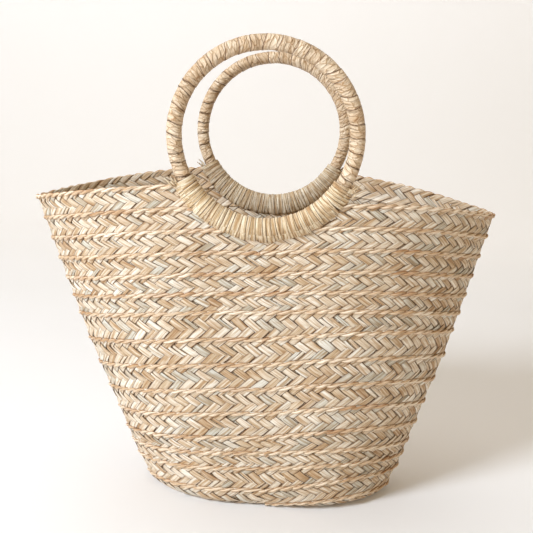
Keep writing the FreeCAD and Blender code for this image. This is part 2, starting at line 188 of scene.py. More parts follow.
def read_seams():
    """Crown height, arch, centre, half width and half depth of every seam, from the CAD."""
    low, high = joined_box(["floor_coil_outer"])
    half_width = (high[0] - low[0]) / 2 - FOOT_TUCK_WIDTH
    half_depth = (high[1] - low[1]) / 2 - FOOT_TUCK_DEPTH
    rows = [(0.0, 0.0, (low[0] + high[0]) / 2, half_width, half_depth)]
    for seam in range(1, TURNS + 1):
        nodes = rope_nodes(seam)
        low, high = joined_box(nodes)
        end = end_height(nodes, low)
        half_depth = (high[1] - low[1]) / 2 - ROPE_PROUD
        if len(nodes) == 1:
            crown = high[2] - ROPE_HALF_HEIGHT
        else:
            # The notches cut the middle away, so the crown follows the seams below.
            before, last = rows[-2], rows[-1]
            crown = end + last[ARCH]
            share = (crown - last[CROWN]) / (last[CROWN] - before[CROWN])
            half_depth = last[HALF_DEPTH] + (last[HALF_DEPTH] - before[HALF_DEPTH]) * share
        centre = (low[0] + high[0]) / 2
        rows.append((crown, crown - end, centre, (high[0] - low[0]) / 2 - ROPE_PROUD, half_depth))
    return np.array(rows)


SEAMS = read_seams()
CROWNS = SEAMS[:, CROWN]


def between_seams(column, height):
    """A column of the seam table at a height between two seams."""
    return np.interp(height, CROWNS, SEAMS[:, column])


def quarter_place(fraction, quarter):
    """Distance along a quarter of an oval, from the middle of its long side."""
    place = np.mod(fraction, 0.5) * 4
    return np.where(place > 1, 2 - place, place) * quarter


def mirrored(fraction, x, y):
    """A point of the front right quarter, moved to the quarter of this fraction."""
    fraction = np.mod(fraction, 1.0)
    x = np.where(fraction > 0.5, -x, x)
    return x, np.where((fraction > 0.25) & (fraction < 0.75), -y, y)


def oval(fraction, half_width, half_depth, half_flat, end):
    """A point on the oval: fraction 0 is the front middle and 0.25 the right end."""
    run = half_width - end - half_flat
    long_radius = (run ** 2 + half_depth ** 2 - end ** 2) / (2 * (half_depth - end))
    turn = np.arctan2(run, long_radius - half_depth)
    quarter = half_flat + long_radius * turn + end * (math.pi / 2 - turn)
    place = quarter_place(fraction, quarter)
    angle = (place - half_flat) / long_radius
    end_angle = turn - math.pi / 2 + (place - half_flat - long_radius * turn) / end
    x = np.where(place < half_flat, place, half_flat + long_radius * np.sin(angle))
    y = np.where(place < half_flat, -half_depth, long_radius - half_depth - long_radius * np.cos(angle))
    on_end = angle > turn
    x = np.where(on_end, half_width - end + end * np.cos(end_angle), x)
    y = np.where(on_end, end * np.sin(end_angle), y)
    return mirrored(fraction, x, y)


def wall_point(height, fraction):
    """A point of the wall's outer face: height is that of the arched line at its crown."""
    height = np.asarray(height, float)
    first = CROWNS[1]
    # Below the first seam the wall curls under in a quarter round.
    curl = np.clip(height / first, 0, 1) * math.pi / 2
    foot = height < first
    rise = np.where(foot, first * (1 - np.cos(curl)), height)
    spread = np.where(foot, first * np.sin(curl), height)
    half_width = between_seams(HALF_WIDTH, spread)
    half_depth = between_seams(HALF_DEPTH, spread)
    arch = np.maximum(between_seams(ARCH, rise), SMALLEST_ARCH)
    share = np.clip(height / CROWNS[-1], 0, 1)
    half_flat = FLOOR_HALF_FLAT + share * (BRIM_HALF_FLAT - FLOOR_HALF_FLAT)
    end = FLOOR_END_RADIUS + share * (BRIM_END_RADIUS - FLOOR_END_RADIUS)
    over = np.maximum(height - CROWNS[-1], 0)
    slope = (SEAMS[-1, HALF_WIDTH] - SEAMS[-2, HALF_WIDTH]) / (CROWNS[-1] - CROWNS[-2])
    x, y = oval(fraction, half_width + over * slope, half_depth, half_flat, end)
    radius = (half_width ** 2 + arch ** 2) / (2 * arch)
    z = rise - radius + np.sqrt(radius ** 2 - x ** 2)
    return np.stack([x + between_seams(CENTRE, spread), y, z], -1)


STRIP_LOW, STRIP_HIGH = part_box("floor_strip")
COIL_LOW, COIL_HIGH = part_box("floor_coil_inner")
STRIP_HALF_WIDTH = (STRIP_HIGH[1] - STRIP_LOW[1]) / 2
STRIP_REACH = (STRIP_HIGH[0] - STRIP_LOW[0]) / 2 - STRIP_HALF_WIDTH
STRIP_MIDDLE = (STRIP_HIGH[0] + STRIP_LOW[0]) / 2
COIL_WIDTH = (COIL_HIGH[1] - COIL_LOW[1]) / 2 - STRIP_HALF_WIDTH
FLOOR_FACE = 0.6 * MM


def slot_point(radius, fraction):
    """A point in the floor, on a slot-shaped line at this distance from the straight strip."""
    radius = np.asarray(radius, float)
    place = quarter_place(fraction, STRIP_REACH + radius * math.pi / 2)
    angle = np.clip((place - STRIP_REACH) / radius, 0, None)
    x = np.minimum(place, STRIP_REACH) + radius * np.sin(angle)
    x, y = mirrored(fraction, x, -radius * np.cos(angle))
    return np.stack([x + STRIP_MIDDLE, y, np.full_like(x, FLOOR_FACE)], -1)


def outer_floor_point(radius, fraction):
    """The outermost floor coil: from the slot-shaped line out to the foot of the wall."""
    inner = STRIP_HALF_WIDTH + COIL_WIDTH
    outer = slot_point(inner, fraction)
    edge = wall_point(np.zeros_like(outer[..., 0]), fraction)
    edge[..., 2] = FLOOR_FACE
    share = (np.asarray(radius, float) - inner) / COIL_WIDTH
    return outer + (edge - outer) * share[..., None]


STEP_UP = 0.03
STEP_ALONG = 0.0004
TINY = 1e-12


def sheet_frame(sheet, rise, path):
    """Point, outward normal and upward direction of a sheet at a place on it.

    A sheet turns two numbers into a point: rise is 0 on a turn's lower seam and 1 on
    its upper seam, and path counts the rounds from the middle of the front.
    """
    point = sheet(rise, path)
    up = sheet(rise + STEP_UP, path) - sheet(rise - STEP_UP, path)
    along = sheet(rise, path + STEP_ALONG) - sheet(rise, path - STEP_ALONG)
    normal = np.cross(along, up)
    normal /= np.linalg.norm(normal, axis=-1, keepdims=True) + TINY
    up /= np.linalg.norm(up, axis=-1, keepdims=True) + TINY
    return point, normal, up


# The spiral climbs by one turn along the right half of the front, fast at first. The
# climb is shared out by X, as it is on a seam half way up the wall.
CLIMB_POWER = 1.2
CLIMB_SEAM = 8
CLIMB_SAMPLES = 80
# The plait's first end, where it comes up off the floor: its level and its short taper.
START_LEVEL = 0.35
START_TAPER = 0.035


def climb_table():
    """Fractions of a round, and how much of a turn the spiral has climbed there."""
    fraction = np.linspace(0, 0.25, CLIMB_SAMPLES)
    x = wall_point(np.full(CLIMB_SAMPLES, CROWNS[CLIMB_SEAM]), fraction)[:, 0]
    share = np.clip(x / x[-1], 0, 1)
    climbed = np.sin(share * math.pi / 2) ** CLIMB_POWER
    return np.append(fraction, 1.0), np.append(climbed - climbed[0], 1.0)


CLIMB = climb_table()


def climb(path):
    """How many turns the spiral has climbed after this many rounds."""
    rounds = np.floor(path)
    return rounds + np.interp(path - rounds, *CLIMB)


def seam_level(seam, path):
    """The level of a seam along its path: 0 is the floor's edge and TURNS the rim."""
    path = np.asarray(path, float)
    if seam == 0:
        tapered = START_LEVEL * smooth((path - 1 + START_TAPER) / START_TAPER)
        return np.where(path < 1, tapered, START_LEVEL + (1 - START_LEVEL) * (climb(path) - 1))
    if seam == 1:
        tapered = START_LEVEL * smooth((path + START_TAPER) / START_TAPER)
        level = np.where(path < 0, tapered, START_LEVEL + (1 - START_LEVEL) * climb(path))
        return np.where(path > 1, climb(path), level)
    return seam - 1 + climb(path)


def level_height(level):
    """Crown height of a level, which may lie between two seams."""
    over = np.maximum(level - TURNS, 0) * (CROWNS[-1] - CROWNS[-2])
    return np.interp(level, np.arange(TURNS + 1), CROWNS) + over


def turn_sheet(turn):
    """The sheet of one turn of the wall."""
    def sheet(rise, path):
        low = level_height(seam_level(turn - 1, path))
        high = level_height(seam_level(turn, path))
        return wall_point(low + (high - low) * rise, path)
    return sheet


def seam_sheet(seam):
    """The sheet about one seam, where rise counts centimetres up from it."""
    def sheet(rise, path):
        return wall_point(level_height(seam_level(seam, path)) + rise * 10 * MM, path)
    return sheet


def band_sheet(surface, low, high):
    """The sheet of one floor coil."""
    def sheet(rise, path):
        return surface(low + (high - low) * np.asarray(rise, float), path)
    return sheet


# ------------------------------------------------------------------ rings

WRAP_RADIUS = 6.6 * MM
BACK_WRAP_RADIUS = 6.2 * MM
RING_LEAN = math.radians(2.5)
LASHING_HALF_SPAN = math.radians(61)
NOTCH_CLEARANCE = 3.6 * MM


def read_ring(side):
    """Centre, radii and directions of a ring, from its wound leaf in the CAD."""
    low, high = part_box(side + "_ring_wrap")
    sign = -1 if side == "front" else 1
    return {
        "centre": np.array((low + high) / 2),
        "radius": (high[0] - low[0]) / 2 - WRAP_RADIUS,
        "tube": WRAP_RADIUS if side == "front" else BACK_WRAP_RADIUS,
        "up": np.array([0, sign * math.sin(RING_LEAN), math.cos(RING_LEAN)]),
        "axis": np.array([0, sign * math.cos(RING_LEAN), -math.sin(RING_LEAN)]),
        "sign": sign,
    }


RINGS = {side: read_ring(side) for side in ("front", "back")}
LASHING_LOW, LASHING_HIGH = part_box("front_lashing")
NOTCH_RADIUS = (LASHING_HIGH[0] - LASHING_LOW[0]) / 2 / math.sin(LASHING_HALF_SPAN) - NOTCH_CLEARANCE


def in_notch(points):
    """True where a point of the wall lies in the round notch under a ring."""
    centre = RINGS["front"]["centre"]
    away = np.hypot(points[..., 0] - centre[0], points[..., 2] - centre[2])
    return away < NOTCH_RADIUS


# ------------------------------------------------------------------ plait

PITCH = 11.4 * MM
STRIP_THICKNESS = 0.42 * MM
WEAVE_DEPTH = 0.8 * MM
STRIP_CROWN = 0.34 * MM
PLAIT_FACE = 0.85 * MM
# Crossings counted from the plait's lower edge: a rising strip goes over two, under
# two and over two, and a falling strip does the opposite.
FIRST_DIVE = 2.5
SECOND_DIVE = 4.5
UPPER_EDGE = 6.0
SEAM_AT = 5.75
LAP = 0.4
# A crossing is as tall as a turn shared by this many, and never less than the smallest unit.
TURN_CROSSINGS = 5.4
SMALLEST_UNIT = 3.7 * MM
# How hand work varies: place and width in strips, split strips, drift, tilt and lift.
PLACE_JITTER = 0.045
STRIP_WIDTHS = (1.02, 1.16)
SPLIT_SHARE = 0.09
SPLIT_OFFSET = 0.25
SPLIT_WIDTH = 0.46
DRIFT = 0.04
SWELL = 0.05
LIFT = 0.1 * MM
TILT = 0.2 * MM
EDGE_GAP = 0.985
# A strip's lower end is tucked this deep behind the rope ridge below it.
TUCK_DEPTH = 1.9 * MM
# A strip is tried at this many places for a notch, and a shorter run than this is left out.
END_SAMPLES = 60
SHORTEST_RUN = 6
# Places round a strip, from -1 at one edge to 1 at the other: top face, then underside.
RING_SIDES = np.array([-1, -0.75, 0, 0.75, 1, 0.82, 0, -0.82])
RING_IS_TOP = np.array([1, 1, 1, 1, 1, 0, 0, 0])
STEPS = 34


def weave(crossing):
    """How far over (+1) or under (-1) the plait's middle a rising strip runs."""
    wave = np.where(crossing < FIRST_DIVE, np.sin(math.pi * np.clip(crossing, 0, None) / FIRST_DIVE), 0)
    under = (crossing >= FIRST_DIVE) & (crossing < SECOND_DIVE)
    wave = np.where(under, -np.sin(math.pi * (crossing - FIRST_DIVE) / 2), wave)
    over = crossing >= SECOND_DIVE
    wave = np.where(over, np.sin(math.pi * (crossing - SECOND_DIVE) / (UPPER_EDGE + 0.6 - SECOND_DIVE)), wave)
    return np.sign(wave) * np.abs(wave) ** 0.5


def plait_strips(first, count):
    """The strips of one turn: direction, place, width and looks, with a few split in two."""
    strips = []
    for rising in (1, -1):
        for number in range(first, count):
            place = number + random.normal(0, PLACE_JITTER)
            width = random.uniform(*STRIP_WIDTHS)
            tint = random.uniform(0, 1)
            if random.uniform() < SPLIT_SHARE:
                for offset in (-SPLIT_OFFSET, SPLIT_OFFSET):
                    strips.append((rising, place + offset * width, width * SPLIT_WIDTH, random.uniform(0, 1)))
            else:
                strips.append((rising, place, width, tint))
    return np.array(strips)


def clip_strips(strips, sheet, count, reach):
    """Each strip with its two ends, cut where it would run into a notch."""
    kept = []
    samples = np.linspace(*reach, END_SAMPLES)
    for strip in strips:
        path = (strip[1] + strip[0] * samples / 2) / count
        rise = (samples - reach[0] - LAP) / (SEAM_AT - reach[0] - LAP)
        for start, stop in free_runs(~in_notch(sheet(rise, path)), SHORTEST_RUN):
            kept.append((*strip, samples[start], samples[stop - 1]))
    return np.array(kept)


def make_plait(name, sheet, tall, count, notched=False, first=0):
    """One turn of plait on a sheet, as interlaced closed strips."""
    unit = max(tall / TURN_CROSSINGS, SMALLEST_UNIT)
    bottom = SEAM_AT - tall / unit
    reach = (bottom - LAP, SEAM_AT + LAP)
    strips = plait_strips(first, count)
    if notched:
        strips = clip_strips(strips, sheet, count, reach)
    else:
        strips = np.concatenate([strips, np.tile(reach, (len(strips), 1))], 1)
    rising, place, width, tint, start, stop = [strips[:, k][:, None, None] for k in range(6)]
    each = (len(strips), 1, 1)
    side = (RING_SIDES[None, None, :] * width / 2) * EDGE_GAP
    travel = np.linspace(0, 1, STEPS)[None, :, None]
    along = start + (stop - start) * travel
    # Each strip drifts and swells a little, as leaf does.
    drift = DRIFT * np.sin(along * random.uniform(0.6, 1.4, each) + random.uniform(0, TAU, each))
    swell = 1 + SWELL * np.sin(along * 1.7 + random.uniform(0, TAU, each))
    path = (place + side * swell + drift + rising * along / 2) / count
    relief = rising * weave(along + rising * side)
    tuck = np.clip((bottom + 0.75 - along) / 0.8, 0, 1)
    rise = np.broadcast_to((along - bottom) / (SEAM_AT - bottom), path.shape)
    point, normal, up = sheet_frame(sheet, rise, path)
    lift = random.normal(0, LIFT, each) + random.normal(0, TILT, each) * RING_SIDES
    top = STRIP_CROWN * (1 - np.abs(RING_SIDES) ** 3) * np.sqrt(np.clip(width, 0.3, 1))
    under = STRIP_CROWN * (1 - RING_SIDES ** 2) - STRIP_THICKNESS
    skin = np.where(RING_IS_TOP == 1, top, under)
    out = -PLAIT_FACE + WEAVE_DEPTH * relief + lift + skin - TUCK_DEPTH * tuck ** 2
    vertices = rest_on_floor(point + normal * out[..., None])
    slant = math.hypot(PITCH / 2, unit)
    strip = strip_map(along * slant + random.uniform(0, 9, each), RING_SIDES * width * PITCH / 4, tint * 7.3)
    shape = vertices.shape[:3]
    faces = tube_faces(len(strips), STEPS, len(RING_SIDES))[:, ::-1]
    # The edge value marks each strip's edges, which the material darkens: painted shade of the gaps between
    # strips.
    return add_mesh(
        name, vertices.reshape(-1, 3), faces, tint=np.broadcast_to(tint, shape).ravel(),
        edge=np.broadcast_to(np.abs(RING_SIDES), shape).ravel(), strip=strip)


# ------------------------------------------------------------------ rope ridges

ROPE_SIDES = 10
PLY_RADIUS = 1.5 * MM
TWIST_OUT = 0.7 * MM
TWIST_UP = 1.1 * MM
ROPE_FACE = 0.1 * MM
ROPE_STEP = 1.0 * MM
FEWEST_SAMPLES = 12
# A folded leaf is flatter than it is tall.
PLY_DEPTH = 0.8
PLY_HEIGHT = 1.12
LENGTH_SAMPLES = 500
SPAN_SAMPLES = 4001
SHORTEST_SPAN = 8
SCATTER = 43758.5453


def path_length(sheet):
    """Length of a sheet's lower seam over one round."""
    path = np.linspace(0, 1, LENGTH_SAMPLES)
    points = sheet(np.zeros(LENGTH_SAMPLES), path)
    return np.linalg.norm(np.diff(points, axis=0), axis=1).sum()


def free_spans(sheet, notched):
    """Stretches of a seam that run outside the notches."""
    if not notched:
        return [(0.0, 1.0)]
    path = np.linspace(0, 1, SPAN_SAMPLES)
    free = ~in_notch(sheet(np.zeros(SPAN_SAMPLES), path))
    return [(path[start], path[stop - 1]) for start, stop in free_runs(free, SHORTEST_SPAN)]


def make_rope(name, sheet, seam, bits, notched=False, size=1.0, face=ROPE_FACE, closed=False):
    """The twisted ridge of one seam: two plies of folded leaf wound round each other."""
    length = path_length(sheet)
    turns = max(1, round(bits / 2))
    pieces, faces, tints, edges, strips = [], [], [], [], []
    offset = 0
    ring = np.linspace(0, TAU, ROPE_SIDES, endpoint=False)
    for start, stop in free_spans(sheet, notched):
        samples = max(FEWEST_SAMPLES, int(length * (stop - start) / ROPE_STEP))
        share = np.linspace(start, stop, samples, endpoint=not closed)
        point, normal, up = sheet_frame(sheet, np.zeros(samples), share)
        total = share + seam
        for ply in (0, math.pi):
            # The twist wanders, and each ply is loose in some places and tight in others.
            wobble = 0.45 * np.sin(total * TAU * 3) + 0.3 * np.sin(total * TAU * 17)
            angle = share * turns * TAU + ply + wobble
            facing = np.cos(angle)
            loose = 1 + 0.12 * np.sin(total * TAU * 41 + ply) + 0.08 * np.sin(total * TAU * 23 + 2 * ply)
            centre = point + normal * (face + size * TWIST_OUT * facing)[:, None]
            centre = centre + up * (size * TWIST_UP * loose * np.sin(angle))[:, None]
            fat = size * PLY_RADIUS * (0.72 + 0.3 * facing) * loose
            folds = 0.10 * np.sin(ring[None] * 3 + angle[:, None] * 0.7 + ply)
            folds = folds + 0.06 * np.sin(ring[None] * 5 - angle[:, None] * 1.3)
            wide = fat[:, None] * (1 + folds)
            vertices = centre[:, None] + normal[:, None] * (np.cos(ring)[None] * wide * PLY_DEPTH)[..., None]
            vertices = vertices + up[:, None] * (np.sin(ring)[None] * wide * PLY_HEIGHT)[..., None]
            faces.append(tube_faces(1, samples, ROPE_SIDES, closed)[:, ::-1] + offset)
            pieces.append(rest_on_floor(vertices).reshape(-1, 3))
            offset += samples * ROPE_SIDES
            # Every half twist is a leaf of its own, with its own colour.
            bit = np.floor(share * turns + ply / TAU + 0.5)
            hue = np.mod(np.sin(bit * 12.9898 + seam * 7.1) * SCATTER, 1.0)
            tints.append(np.repeat(hue, ROPE_SIDES))
            # Darker at the top and bottom of each ply and where it turns in behind the other: painted shade
            # in the grooves between the plies.
            edge = np.abs(np.sin(ring))[None] ** 2 * (0.6 + 0.4 * np.abs(np.sin(angle)))[:, None]
            edge = np.maximum(edge, np.clip(-facing, 0, 1)[:, None])
            edges.append(edge.ravel())
            strips.append(strip_map((share * length)[:, None], ring[None] * fat[:, None], hue[:, None] * 7))
    return add_mesh(
        name, np.concatenate(pieces), np.concatenate(faces), tint=np.concatenate(tints),
        edge=np.concatenate(edges), strip=np.concatenate(strips))


# ------------------------------------------------------------------ ring handles

WRAP_TURNS = 40
WRAP_STEPS = 56
WRAP_ACROSS = 9
WRAP_LAP = 1.6
WRAP_WANDER = 0.2
WRAP_WIDTHS = (1.0, 1.3)
WRAP_SCATTER = 43758.5
LEAF_THICKNESS = 0.22 * MM
LEAF_RISE = 0.6
# How square the leaf lies across the outer face, before it crosses over on the inner one.
SQUARE_LAY = 0.55
CREASE_DEPTH = 0.26
# Creases over the leaf: depth, waves round the tube, waves across the leaf, shift per turn.
CREASES = ((0.5, 3, 7, 1.7), (0.35, 8, -15, 0.9), (0.25, 17, 23, 2.9))


def ring_point(ring, angle, distance, sideways):
    """A point near a ring: angle round the ring, distance from its axis, and offset along the axis."""
    angle, distance, sideways = np.broadcast_arrays(angle, distance, sideways)
    outward = np.cos(angle)[..., None] * np.array([1.0, 0, 0]) + np.sin(angle)[..., None] * ring["up"]
    return ring["centre"] + outward * distance[..., None] + ring["axis"] * sideways[..., None]


def make_wrap(name, ring):
    """One long leaf strip wound round the ring, each turn lapping over the last."""
    samples = WRAP_TURNS * WRAP_STEPS
    turn = np.linspace(0, WRAP_TURNS, samples)[:, None]
    across = np.linspace(0, 1, WRAP_ACROSS)[None]
    number = np.floor(turn).astype(int)
    wander = random.uniform(-WRAP_WANDER, WRAP_WANDER, WRAP_TURNS + 2)
    wide = random.uniform(*WRAP_WIDTHS, WRAP_TURNS + 2)
    blend = smooth(turn - number)
    shift = wander[number] * (1 - blend) + wander[number + 1] * blend
    width = (wide[number] * (1 - blend) + wide[number + 1] * blend) * WRAP_LAP
    around = turn * TAU
    wave = 0.06 * np.sin(around + 3 * across + number) + 0.04 * np.sin(around * 2.7 + number * 2.1)
    square = -ring["sign"] * SQUARE_LAY * np.cos(around) / TAU
    along = (turn + shift + square + (across - 0.5) * width + wave) * TAU / WRAP_TURNS
    # Creases run over the leaf and fade at its edges, and the free edge stands a little proud.
    crease = sum(
        depth * np.sin(around * round_waves + across * cross_waves + number * shift_per_turn)
        for depth, round_waves, cross_waves, shift_per_turn in CREASES) * np.sin(across * math.pi)
    radius = ring["tube"] + (LEAF_RISE * across - LEAF_RISE + CREASE_DEPTH * crease) * MM
    angle = math.pi / 2 + along
    rows = []
    for skin in (radius + LEAF_THICKNESS, radius - LEAF_THICKNESS / 2):
        distance = ring["radius"] + skin * np.cos(around)
        rows.append(ring_point(ring, angle, distance, skin * np.sin(around)))
    loop = np.concatenate([rows[0], rows[1][:, ::-1]], 1)
    sides = 2 * WRAP_ACROSS
    tint = np.broadcast_to(np.mod(np.sin(number * 78.233) * WRAP_SCATTER, 1.0), (samples, sides))
    # The edge value marks the leaf's free edge, which the material darkens: painted shade where each turn
    # laps over the last.
    both = np.concatenate([across, across[:, ::-1]], 1)
    strip = strip_map(around * WRAP_RADIUS, both * width * 12 * MM, tint * 5)
    return add_mesh(
        name, loop.reshape(-1, 3), tube_faces(1, samples, sides), tint=tint.ravel(),
        edge=np.broadcast_to(both, tint.shape).ravel(), strip=strip)


LASHING_GROUPS = 7
STRANDS_PER_GROUP = 8
LOOSE_PER_GROUP = 4
LASHING_RADIUS = WRAP_RADIUS + 1.3 * MM
SKIRT_END = 90.0 * MM
SKIRT_HALF = 2.7 * MM
STRAND_THICKNESS = 0.45 * MM
WALL_HALF = 2.0 * MM
ARC_SAMPLES = 20
FACE_SAMPLES = 8
# How far a strand bows out over the wall, and how deep it passes through it.
FACE_BOW = 1.2 * MM
STITCH_DEPTH = 0.9 * MM
# Ends that stick out where the lashing stops.
LOOSE_ENDS = 7
LOOSE_SAMPLES = 12


def wall_offset(ring, angle, outer):
    """How far the middle of the wall lies from the ring's plane, along its axis."""
    place = ring_point(ring, np.array(angle), np.array(outer), np.array(0.0))
    middle = float(between_seams(HALF_DEPTH, place[2])) - WALL_HALF
    return middle - abs(float(place[1]))


def lashing_path(radius, outer, tube, middle, half):
    """The closed loop of one strand: round the tube, down both faces of the wall, through it.

    Returns distances from the ring's axis and offsets along it.
    """
    reach = outer - radius
    tangents = []
    for side in (-1, 1):
        aside = side * middle + half
        far = math.hypot(reach, aside)
        tangents.append(math.atan2(aside, reach) + math.acos(min(1, tube / far)))
    lower, upper = tangents
    angles = np.linspace(upper, TAU - lower, ARC_SAMPLES)
    distance = radius + tube * np.cos(angles)
    sideways = tube * np.sin(angles)
    share = np.linspace(0, 1, FACE_SAMPLES)[1:]
    bulge = FACE_BOW * np.sin(share * math.pi) ** 0.8
    down = distance[-1] + (outer - distance[-1]) * share
    down_aside = sideways[-1] + (middle - half - sideways[-1]) * share - bulge
    back = outer + (distance[0] - outer) * share[:-1]
    back_aside = middle + half + (sideways[0] - middle - half) * share[:-1] + bulge[:-1]
    deep = outer + STITCH_DEPTH
    distance = np.concatenate([distance, down, [deep, deep, outer], back])
    sideways = np.concatenate([
        sideways, down_aside, [middle - half * 0.45, middle + half * 0.45, middle + half], back_aside])
    return distance, sideways


def loop_strand(ring, centre, distance, sideways, width, slope, twist):
    """Vertices of one flat strand that follows a closed loop across the ring's tube."""
    arms = np.stack([distance, sideways], -1)
    ahead = np.roll(arms, -1, 0) - np.roll(arms, 1, 0)
    ahead /= np.linalg.norm(ahead, axis=1, keepdims=True)
    inwards = np.stack([ahead[:, 1], -ahead[:, 0]], -1)
    across = RING_SIDES[None] * width / 2
    lift = np.where(RING_IS_TOP == 1, 0.3 * MM * (1 - RING_SIDES ** 2), -STRAND_THICKNESS)
    lift = lift[None] + twist * RING_SIDES[None] * MM
    at = arms[:, None] + inwards[:, None] * lift[..., None]
    lean = slope * (distance - ring["radius"]) / (20 * MM)
    angle = centre + lean[:, None] + across / (0.4 * at[..., 0] + 0.6 * ring["radius"])
    return ring_point(ring, angle, at[..., 0], at[..., 1])


def open_strand(points, normal, width):
    """Vertices of one thin strand along a row of points, flat to a normal."""
    ahead = np.gradient(points, axis=0)
    ahead /= np.linalg.norm(ahead, axis=1, keepdims=True)
    beside = np.cross(normal, ahead)
    taper = np.linspace(1, 0.35, len(points))[:, None, None]
    offset = beside[:, None] * (RING_SIDES * width / 2)[None, :, None] * taper
    rise = np.where(RING_IS_TOP == 1, 0.25 * MM * (1 - RING_SIDES ** 2), -0.2 * MM)
    return points[:, None] + offset + normal * rise[None, :, None] * taper


def loose_end(ring, away):
    """Vertices of one short end that curls away from an end of the lashing."""
    start = -math.pi / 2 + away * (LASHING_HALF_SPAN + random.uniform(-0.05, 0.03))
    share = np.linspace(0, 1, LOOSE_SAMPLES)
    curl = random.uniform(-0.9, 1.6)
    length = random.uniform(5, 12) * MM
    angle = start + away * share * length * 0.6 / ring["radius"] * (1 + 0.4 * curl * share)
    distance = random.uniform(84, 90) * MM + length * share * (0.2 + 0.5 * curl * share) * 0.5
    aside = 5.0 * MM + 1.4 * MM * np.sin(share * 3) + random.uniform(-1, 0.5) * MM
    points = ring_point(ring, angle, distance, aside)
    return open_strand(points, ring["axis"], random.uniform(1.4, 2.6) * MM)


def make_lashing(side, group, ring):
    """A few strands of the lashing, side by side, with ragged lower ends.

    Returns the piece, and the points where it leaves the wall and where it meets the ring.
    """
    span = 2 * LASHING_HALF_SPAN / LASHING_GROUPS
    begin = -math.pi / 2 - LASHING_HALF_SPAN + group * span
    vertices, faces, tints, edges, strips = [], [], [], [], []
    sides = len(RING_SIDES)

    def add_strand(points, closed, tint):
        steps = len(points)
        offset = sum(len(part) for part in vertices)
        vertices.append(points.reshape(-1, 3))
        faces.append(tube_faces(1, steps, sides, closed) + offset)
        tints.append(np.full(steps * sides, tint))
        # Darker towards each strand's edges in the material: painted shade between the strands.
        edges.append(np.tile(np.abs(RING_SIDES), steps))
        length = np.arange(steps)[:, None] * 2.0 * MM + tint
        strips.append(strip_map(length, RING_SIDES[None] * 1.6 * MM, tint * 7))

    for layer, count in ((0, STRANDS_PER_GROUP), (1, LOOSE_PER_GROUP)):
        for number in range(count):
            centre = begin + (number + 0.5 + random.normal(0, 0.1 + 0.3 * layer)) * span / count
            tube = LASHING_RADIUS + (0.3 * layer + random.uniform(0, 0.35)) * MM
            ending = abs(centre + math.pi / 2) / LASHING_HALF_SPAN
            outer = SKIRT_END - (0.5 * layer + 2.0 * ending ** 4) * MM + random.uniform(-0.8, 0.9) * MM
            half = SKIRT_HALF + random.uniform(-0.1, 0.3) * MM + 0.25 * layer * MM
            width = (random.uniform(3.8, 5.2) if layer == 0 else random.uniform(1.4, 2.6)) * MM
            middle = wall_offset(ring, centre, outer)
            distance, sideways = lashing_path(ring["radius"], outer, tube, middle, half)
            slope = random.normal(0.01, 0.013)
            points = loop_strand(ring, centre, distance, sideways, width, slope, random.normal(0.22, 0.12))
            add_strand(points, True, random.uniform(0, 1))
    if group in (0, LASHING_GROUPS - 1):
        away = -1 if group == 0 else 1
        for _ in range(LOOSE_ENDS):
            add_strand(loose_end(ring, away), False, random.uniform(0, 1))
    item = add_mesh(
        "%s_lashing_%d" % (side, group + 1), np.concatenate(vertices), np.concatenate(faces),
        tint=np.concatenate(tints), edge=np.concatenate(edges), strip=np.concatenate(strips))
    middle = np.array(begin + span / 2)
    wall_edge = ring_point(ring, middle, np.array(SKIRT_END), np.array(0.0))
    ring_edge = ring_point(ring, middle, np.array(ring["radius"] + WRAP_RADIUS * 0.6), np.array(0.0))
    return item, wall_edge, ring_edge


# ------------------------------------------------------------------ materials

# Places of a colour mix node's two colours and of its result.
FIRST_COLOUR = 6
SECOND_COLOUR = 7
MIXED_COLOUR = 2


def ramp(nodes, stops):
    """A colour ramp node with these stops, each a position and a colour."""
    item = nodes.new("ShaderNodeValToRGB")
    item.color_ramp.elements[0].position = stops[0][0]
    item.color_ramp.elements[0].color = (*stops[0][1], 1)
    item.color_ramp.elements[1].position = stops[-1][0]
    item.color_ramp.elements[1].color = (*stops[-1][1], 1)
    for position, colour in stops[1:-1]:
        element = item.color_ramp.elements.new(position)
        element.color = (*colour, 1)
    return item


